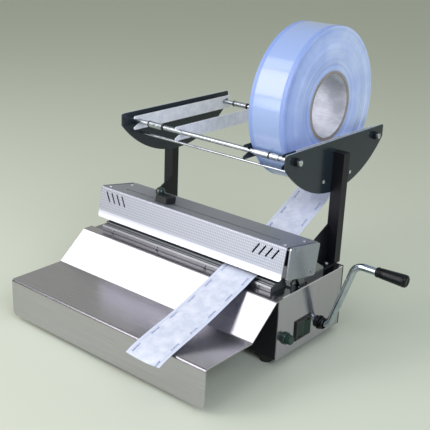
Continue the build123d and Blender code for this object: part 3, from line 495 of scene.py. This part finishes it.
def buildReel():
    left, right, outer, core = reel["left"], reel["right"], reel["radius"], reel["core"]
    # the turns stand a little in and out where the winding wandered
    leftFace = [(core, 0.3), (55, 0.5), (55.5, 0.15), (71, 0.4), (71.6, 0.0), (86, 0.3), (94.2, 0.1)]
    rightFace = [(94.2, 0.1), (83.5, 0.05), (82.8, 0.55), (70, 0.3), (69.4, 0.0), (60, 0.45),
                 (59.6, 0.15), (50, 0.35), (49.5, 0.6), (core, 0.2)]
    outline = [(left + inset, r) for r, inset in leftFace]
    seal, edge, inner = reel["seal"], reel["edge"], outer - reel["slope"]
    step, flat, middle = seal + reel["step"], seal + reel["flat"], outer - reel["sunk"]
    outline += [(left + edge, outer), (left + seal, inner), (left + step, middle),
                (left + flat, middle), (right - flat, middle), (right - step, middle),
                (right - seal, inner), (right - edge, outer)]
    outline += [(right - inset, r) for r, inset in rightFace]
    outline.append(outline[0])
    piece = turned(outline, reel["sides"], capped=False)
    piece.rotation_euler = (0, math.radians(90), 0)
    piece.location = (0, reel["middle"][0] * mm, reel["middle"][1] * mm)
    finishPiece(piece, "filmReel", woundFilm(), "reel", ("reel_roll",), 28)


buildReel()

print("pouch web")
web = {"left": 65.0, "width": 49.4, "wall": 0.25, "across": 14, "steps": 16,
       # it runs from the cut end over the tray to the pad and on up to the reel, (y, z)
       "run": [(-152, 46.5), (-130.5, 55.4), (-72, 72.2), (-11, 93.2), (15, 101.3), (28, 101.3),
               (46, 106.8), (80, 122.8), (117, 141.7), (156, 163.2), (195.3, 205.2)],
       "onPad": (4, 5), "startWay": (1, 0.6), "endWay": (0.799, 0.602), "curl": 1.4,
       "free": 90.0, "ripple": 0.25, "ripplePitch": 17.0,
       # the look: clouds in the paper, sealed margins, and the printed lines beside them
       "clouds": 12.0, "ribs": 28.0, "seal": 3.5, "hair": 0.5, "hairInk": 0.4, "inkGrain": 1.6,
       "dash": 13.0, "dashWide": 2.1, "dashPitch": 31.0, "dashLean": 0.4, "dashClear": 2.2}


def webLine():
    points = [Vector((0, y * mm, z * mm)) for y, z in web["run"]]
    ways = [points[min(i + 1, len(points) - 1)] - points[max(i - 1, 0)] for i in range(len(points))]
    ways[0], ways[-1] = Vector((0, *web["startWay"])), Vector((0, *web["endWay"]))
    for i in web["onPad"]:
        ways[i] = Vector((0, 1, 0))
    line = [points[0]]
    for i in range(len(points) - 1):
        first, last = points[i], points[i + 1]
        span = (last - first).length / 3
        bits = geometry.interpolate_bezier(first, first + ways[i].normalized() * span,
                                           last - ways[i + 1].normalized() * span, last,
                                           web["steps"] + 1)
        line += bits[1:]
    return line


def pouchFilm():
    # sterilisation pouch: medical paper under clear blue film, heat-sealed along both margins and
    # printed beside the seals with plain dashes; the paper shows cloudy through the glossy film
    material, shader = newMaterial("pouchFilm", "c9d5ee", 0.0, 0.28, 1.5)
    at = addNode(material, "TexCoord", {}, "Object")
    uv = addNode(material, "UVMap", {})  # both ways in widths of the web
    x, along = (addNode(material, "SeparateXYZ", {"Vector": uv}, axis) for axis in "XY")
    off = addNode(material, "Math", {"operation": "SUBTRACT", 0: x, 1: 0.5})
    across = addNode(material, "Math", {"operation": "ABSOLUTE", 0: off})
    clouds = addNode(material, "TexNoise", {"Vector": at, "Scale": 1 / (web["clouds"] * mm),
                                            "Detail": 3.0})
    paper = addNode(material, "ValToRGB", {"Fac": clouds, "stops": [(0.3, "c1c8d8"), (0.5, "cad0de"),
                                                                   (0.7, "d9dde7")]})
    # sealed margins with their fine ribs, which run along the web
    ribs = addNode(material, "TexWave", {"Vector": addNode(material, "CombineXYZ", {0: across}),
                                         "Scale": web["ribs"]})
    seal = addNode(material, "ValToRGB", {"Fac": ribs, "stops": [(0.3, "bfc8dc"), (0.7, "d4dae9")]})
    inner = 0.5 - web["seal"] / web["width"]
    inSeal = addNode(material, "Math", {"operation": "GREATER_THAN", 0: across, 1: inner})
    tone = addNode(material, "Mix", {"data_type": "RGBA", 0: inSeal, 6: paper, 7: seal}, 2)
    # dashes and a hair line beside each seal, the dashes staggered from left to right
    lean = addNode(material, "Math", {"operation": "MULTIPLY", 0: off, 1: web["dashLean"]})
    count = addNode(material, "Math", {"operation": "MULTIPLY_ADD", 0: along,
                                       1: web["width"] / web["dashPitch"], 2: lean})
    beat = addNode(material, "Math", {"operation": "FRACT", 0: count})
    printed = addNode(material, "Math", {"operation": "LESS_THAN", 0: beat,
                                         1: web["dash"] / web["dashPitch"]})
    dashHalf = web["dashWide"] / 2 / web["width"]
    dashRow = addNode(material, "Math", {"operation": "COMPARE", 0: across,
                                         1: inner - web["dashClear"] * dashHalf, 2: dashHalf})
    hairRow = addNode(material, "Math", {"operation": "COMPARE", 0: across, 1: inner,
                                         2: web["hair"] / web["width"]})
    dashes = addNode(material, "Math", {"operation": "MULTIPLY", 0: printed, 1: dashRow})
    marks = addNode(material, "Math", {"operation": "MULTIPLY_ADD", 0: hairRow, 1: web["hairInk"],
                                       2: dashes, "use_clamp": True})
    # the ink took unevenly
    grain = addNode(material, "TexNoise", {"Vector": at, "Scale": 1 / (web["inkGrain"] * mm),
                                           "Detail": 2.0})
    take = addNode(material, "MapRange", {"Value": grain, "From Min": 0.35, "From Max": 0.65,
                                          "To Min": 0.35, "To Max": 0.95})
    ink = addNode(material, "Math", {"operation": "MULTIPLY", 0: marks, 1: take})
    tone = addNode(material, "Mix", {"data_type": "RGBA", 0: ink, 6: tone,
                                     7: linear("62729a")}, 2)
    gloss = addNode(material, "MapRange", {"Value": clouds, "From Min": 0.3, "From Max": 0.7,
                                           "To Min": 0.22, "To Max": 0.36})
    bump = addNode(material, "Bump", {"Height": clouds, "Strength": 0.25, "Distance": 0.2 * mm})
    plug(material, shader, {"Base Color": tone, "Roughness": gloss, "Normal": bump})
    return material


def buildWeb():
    line = webLine()
    lengths = [0.0]
    for a, b in zip(line, line[1:]):
        lengths.append(lengths[-1] + (b - a).length)
    deselectAll()
    bpy.ops.mesh.primitive_grid_add(x_subdivisions=web["across"], y_subdivisions=len(line) - 1,
                                    size=1, calc_uvs=True)
    piece = bpy.context.object
    uv = piece.data.uv_layers[0].data
    row = [round((v.co.y + 0.5) * (len(line) - 1)) for v in piece.data.vertices]
    side = [v.co.x + 0.5 for v in piece.data.vertices]
    for loop in piece.data.loops:
        i = loop.vertex_index
        uv[loop.index].uv = (side[i], lengths[row[i]] / (web["width"] * mm))
    for i, vertex in enumerate(piece.data.vertices):
        at = line[row[i]]
        edge = (2 * side[i] - 1) ** 2
        free = max(0.0, 1 - lengths[row[i]] / (web["free"] * mm))  # only the loose end curls
        wave = math.sin(lengths[row[i]] / (web["ripplePitch"] * mm) + 2 * side[i])
        wave *= web["ripple"] * mm * edge * min(1, free * 3)
        lift = web["curl"] * mm * free * free * edge + wave
        vertex.co = (web["left"] * mm + side[i] * web["width"] * mm, at.y, at.z + lift)
    piece.data.name = "pouchFilm"
    selectOnly(piece)
    wall = piece.modifiers.new("wall", "SOLIDIFY")
    wall.thickness = web["wall"] * mm
    wall.offset = 0.0
    bpy.ops.object.modifier_apply(modifier="wall")
    finishPiece(piece, "pouchWeb", pouchFilm(), "machine", ("pouch_web",), 60)


buildWeb()

print("knobs and grip")
cutterKnob = {"ball": 6.2, "collar": 2.8, "stud": 1.7, "length": 11.5, "clear": 0.05, "lean": 130}


def buildCutterKnob():
    low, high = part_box("cutter_knob")
    lean = math.radians(cutterKnob["lean"])
    turn = Vector((math.sin(lean), 0, math.cos(lean)))
    ball, collar, stud = cutterKnob["ball"], cutterKnob["collar"], cutterKnob["stud"]
    reach = (ball + cutterKnob["clear"]) * mm
    centre = Vector((low[0] + reach, (low[1] + high[1]) / 2, high[2] - reach))
    outline = [(-ball * math.cos(math.radians(a)), ball * math.sin(math.radians(a)))
               for a in range(6, 157, 6)]
    outline += [(ball * 0.97, collar), (ball + 0.8, collar), (ball + 1.0, stud),
                (cutterKnob["length"], stud)]
    piece = turned(outline, 40)
    piece.rotation_euler = turn.to_track_quat("Z", "Y").to_euler()
    piece.location = centre
    finishPiece(piece, "cutterKnob", knobPhenolic, "cutter", ("cutter_knob",), 40)


buildCutterKnob()

grip = {"bore": 4.5, "small": 5.7, "large": 7.5, "last": 0.4}  # last is the ring that gets closed


def buildGrip():
    low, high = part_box("lever_grip")
    start, length = low[0] / mm, (high[0] - low[0]) / mm
    small, large = grip["small"], grip["large"]
    outline = [(0, grip["bore"]), (0, small - 0.4), (0.6, small + 0.2), (2.2, small + 0.5),
               (3.4, small + 0.4), (4.0, small), (4.8, small), (5.4, small + 0.4),
               (14, small + 0.8), (33, large - 0.1), (35.6, large), (37.4, large - 0.3),
               (38.4, large - 1.0), (length, large - 2.3), (length - 0.5, large - 3.1),
               (length - 0.6, grip["last"])]
    piece = turned(outline, 48, capped=False)
    piece.rotation_euler = (0, math.radians(90), 0)
    piece.location = (start * mm, (low[1] + high[1]) / 2, (low[2] + high[2]) / 2)
    # close the small ring in the middle of the grip's end
    selectOnly(piece)
    bpy.ops.object.mode_set(mode="EDIT")
    bpy.ops.mesh.select_all(action="DESELECT")
    bpy.ops.object.mode_set(mode="OBJECT")
    for edge in piece.data.edges:
        ends = [piece.data.vertices[i].co for i in edge.vertices]
        edge.select = all(math.hypot(c.x, c.y) < (grip["last"] + weld) * mm for c in ends)
    bpy.ops.object.mode_set(mode="EDIT")
    bpy.ops.mesh.edge_face_add()
    finishPiece(piece, "crankGrip", gripPvc, "lever", ("lever_grip",), 40)


buildGrip()

fuseKnob = {"radius": 5.9, "head": 7.0, "stem": 2.9, "stemEnd": 19.5, "flutes": 18, "depth": 0.35}


def buildFuseKnob():
    low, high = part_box("fuse_cap")
    tip = high[0] / mm
    radius, stem, back = fuseKnob["radius"], fuseKnob["stem"], tip - fuseKnob["head"]
    outline = [(tip - fuseKnob["stemEnd"], stem), (back, stem), (back, radius - 0.5),
               (back + 0.5, radius), (tip - 1.4, radius - 0.25), (tip - 0.5, radius - 0.7),
               (tip, radius - 1.7), (tip - 0.4, radius - 2.2), (tip - 0.4, 1.0)]
    piece = turned(outline, fuseKnob["flutes"] * 4)
    # on the round of the head, two of every four points are pressed in and make a flute
    for vertex in piece.data.vertices:
        away = math.hypot(vertex.co.x, vertex.co.y)
        if away > (radius - 0.8) * mm and vertex.co.z > (back + 0.4) * mm:
            turn = math.degrees(math.atan2(vertex.co.y, vertex.co.x)) % (360 / fuseKnob["flutes"])
            if turn > 180 / fuseKnob["flutes"] - 1:
                shrink = 1 - fuseKnob["depth"] * mm / away
                vertex.co.x *= shrink
                vertex.co.y *= shrink
    piece.rotation_euler = (0, math.radians(90), 0)
    piece.location = (0, (low[1] + high[1]) / 2, (low[2] + high[2]) / 2)
    finishPiece(piece, "fuseKnob", fuseNylon, "fuse", ("fuse_cap",), 30)


buildFuseKnob()

print("studio")
# the floor lies a hair under the feet, so that no two faces share a place
deselectAll()
bpy.ops.mesh.primitive_plane_add(size=12, location=(0, 0, -0.0002))
floor = bpy.context.object
floor.name = "floor"
floorPaint = newMaterial("paleFloor", "c8cebe", 0.0, 0.8)[0]
floor.data.materials.append(floorPaint)

world = bpy.data.worlds.new("studio")
world.use_nodes = True
world.node_tree.nodes["Background"].inputs["Color"].default_value = linear("c6cac4")
world.node_tree.nodes["Background"].inputs["Strength"].default_value = 0.8
bpy.context.scene.world = world


def softLight(name, at, aim, size, power, colour, roll=0):
    data = bpy.data.lights.new(name, "AREA")
    data.shape = "RECTANGLE"
    data.size, data.size_y = size
    data.energy = power
    data.color = linear(colour)[:3]
    light = bpy.data.objects.new(name, data)
    light.location = at
    facing = (Vector(aim) - Vector(at)).to_track_quat("-Z", "Y")
    light.rotation_euler = (facing @ Quaternion((0, 0, 1), math.radians(roll))).to_euler()
    bpy.context.collection.objects.link(light)


# the slope of the tray mirrors the first box and the reel's outer turn the second
softLight("slopeBox", (-1.098, -0.573, 1.387), (-0.048, 0.407, 0.587), (1.0, 0.42), 4.2, "f8f6ff", 46)
softLight("treadBox", (-0.855, -1.160, 0.985), (0.195, -0.18, 0.185), (0.57, 0.92), 10, "fff5f6")
softLight("frontFill", (-0.1, -1.6, 1.2), (0, 0, 0.12), (1.0, 1.0), 8, "f8f6ff")
softLight("lowFrontBox", (-0.6, -1.46, 0.3), (0, 0, 0.12), (0.7, 0.4), 5, "f2f4ff")
softLight("topBox", (0.3, 0.2, 1.8), (0, 0.05, 0.1), (1.4, 1.0), 3, "f4f4ff")
softLight("rightFill", (1.5, -0.6, 1.2), (0, 0.05, 0.2), (1.0, 1.0), 16, "e8edff")
bpy.context.scene.view_settings.view_transform = "Standard"

print("done")
